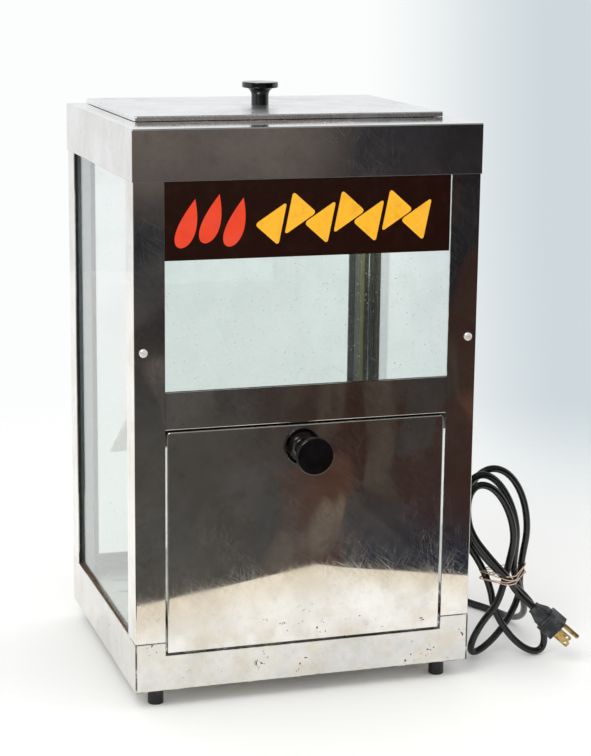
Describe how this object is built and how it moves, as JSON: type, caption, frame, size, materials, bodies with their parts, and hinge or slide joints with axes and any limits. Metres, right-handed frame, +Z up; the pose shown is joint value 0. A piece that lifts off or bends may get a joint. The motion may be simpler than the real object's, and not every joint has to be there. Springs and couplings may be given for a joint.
{
  "type": "chip warmer",
  "caption": "Countertop chip warmer: glazed stainless steel cabinet with lift-off lid, drop-down front door, heated slotted floor and coiled mains lead.",
  "frame": {"origin": "on the counter, in the middle of the footprint of the cabinet with its door knob and rear switch", "axes": "+X right seen from the front, +Y from the door to the back, +Z up"},
  "size_m": [0.4833, 0.4579, 0.6093],
  "materials": {
    "stainless_sheet": "bright stainless sheet, polished and scratched",
    "stainless_inner": "mill finish stainless sheet",
    "steel_fasteners": "plated steel",
    "glazing": "clear float glass",
    "gasket_rubber": "matt",
    "aged_sill_strip": "stained steel",
    "foot_rubber": "matt",
    "sign_face": "printed plastic",
    "black_phenolic": "moulded, worn gloss",
    "catch_magnet": "matt",
    "element_sheath": "heat darkened",
    "plated_bracket": "galvanised",
    "thermostat_metal": "satin",
    "lead_insulation": "heat resistant sleeve",
    "switch_plastic": "moulded nylon",
    "cord_rubber": "satin jacket",
    "plug_rubber": "moulded",
    "band_rubber": "natural rubber",
    "plug_brass": "tarnished"
  },
  "bodies": {
    "cabinet": {"base_front": "stainless_sheet", "base_shell": "stainless_sheet", "bottom_plate": "stainless_sheet", "chip_baffle": "stainless_sheet", "cord_band": "band_rubber", "cord_gland": "cord_rubber", "cord_hank": "cord_rubber", "cord_tail": "cord_rubber", "door_catch": "catch_magnet", "element_rack_left": "plated_bracket", "element_rack_right": "plated_bracket", "floor_deck": "stainless_sheet", "foot_front_left": "foot_rubber", "foot_front_right": "foot_rubber", "foot_nuts": "steel_fasteners", "foot_rear_left": "foot_rubber", "foot_rear_right": "foot_rubber", "foot_screws": "steel_fasteners", "gasket_left": "gasket_rubber", "gasket_rear": "gasket_rubber", "gasket_right": "gasket_rubber", "glass_front": "glazing", "glass_left": "glazing", "glass_rear": "glazing", "glass_right": "glazing", "header_cap": "stainless_sheet", "heating_element": "element_sheath", "hinge_bracket_left": "stainless_inner", "hinge_bracket_right": "stainless_inner", "hinge_pins": "steel_fasteners", "inner_angle_front_left": "stainless_inner", "inner_angle_front_right": "stainless_inner", "inner_angle_rear_left": "stainless_inner", "inner_angle_rear_right": "stainless_inner", "live_leads": "lead_insulation", "mid_rail": "stainless_sheet", "neutral_lead": "lead_insulation", "plug_blades": "plug_brass", "plug_body": "plug_rubber", "plug_ground_pin": "plug_brass", "post_front_left": "stainless_sheet", "post_front_right": "stainless_sheet", "post_rear_left": "stainless_sheet", "post_rear_right": "stainless_sheet", "post_screws": "steel_fasteners", "sign_panel": "sign_face", "sill_left": "aged_sill_strip", "sill_rear": "aged_sill_strip", "sill_right": "aged_sill_strip", "switch_housing": "switch_plastic", "thermostat": "thermostat_metal"},
    "door": {"door_panel": "stainless_sheet", "door_liner": "stainless_inner", "door_knob": "black_phenolic", "door_knob_screw": "steel_fasteners"},
    "lid": {"lid_panel": "stainless_sheet", "lid_locator": "stainless_inner", "lid_knob": "black_phenolic", "lid_knob_screw": "steel_fasteners"},
    "rocker": {"switch_rocker": "switch_plastic"}
  },
  "joints": [
    {"name": "door_hinge", "type": "hinge", "parent": "cabinet", "child": "door", "pos_m": [0, -0.1405, 0.0625], "axis": [1, 0, 0], "range_deg": [0, 98]},
    {"name": "lid_lift", "type": "slide", "parent": "cabinet", "child": "lid", "axis": [0, 0, 1], "range_m": [0, 0.12]},
    {"name": "switch_rock", "type": "hinge", "parent": "cabinet", "child": "rocker", "pos_m": [0.085, 0.1615, 0.041], "axis": [0, 0, 1], "range_deg": [0, 20]}
  ]
}
